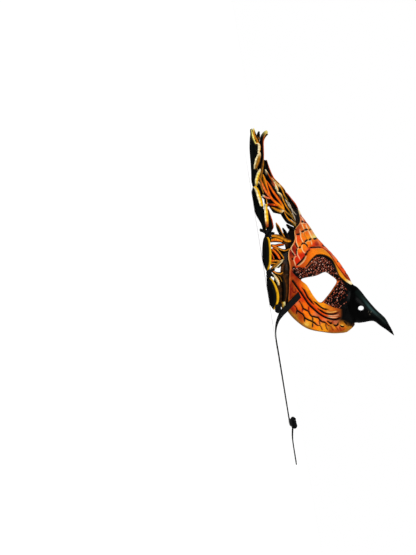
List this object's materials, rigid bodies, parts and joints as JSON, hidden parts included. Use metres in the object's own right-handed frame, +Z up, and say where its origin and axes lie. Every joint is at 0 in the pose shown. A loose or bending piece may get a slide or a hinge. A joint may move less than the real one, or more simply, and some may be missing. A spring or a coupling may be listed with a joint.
{
  "type": "leather owl mask",
  "caption": "Half-face owl mask of tooled, painted leather with a hooked beak, horn-like ear tufts and laced side feathers, lying face up on its rear rim.",
  "frame": {"origin": "under the middle of the mask without its straps, on the surface it lies on", "axes": "+Z up out of the face towards the beak tip, +Y towards the ear tufts, +X towards the wearer's left"},
  "size_m": [0.188, 0.3384, 0.1184],
  "materials": {
    "painted_leather": "satin",
    "dark_leather": "satin",
    "thong": "satin",
    "strap": "matte"
  },
  "bodies": {
    "root": {"owl_face": "painted_leather", "horn_tuft_left": "dark_leather", "upper_side_feather_left": "dark_leather", "lower_side_feather_left": "dark_leather", "upper_lacing_knot_left": "thong", "middle_lacing_knot_left": "thong", "lower_lacing_knot_left": "thong", "strap_left": "strap", "strap_tail_left": "strap", "horn_tuft_right": "dark_leather", "upper_side_feather_right": "dark_leather", "lower_side_feather_right": "dark_leather", "upper_lacing_knot_right": "thong", "middle_lacing_knot_right": "thong", "lower_lacing_knot_right": "thong", "strap_right": "strap", "strap_tail_right": "strap", "strap_tie": "strap"}
  },
  "joints": []
}
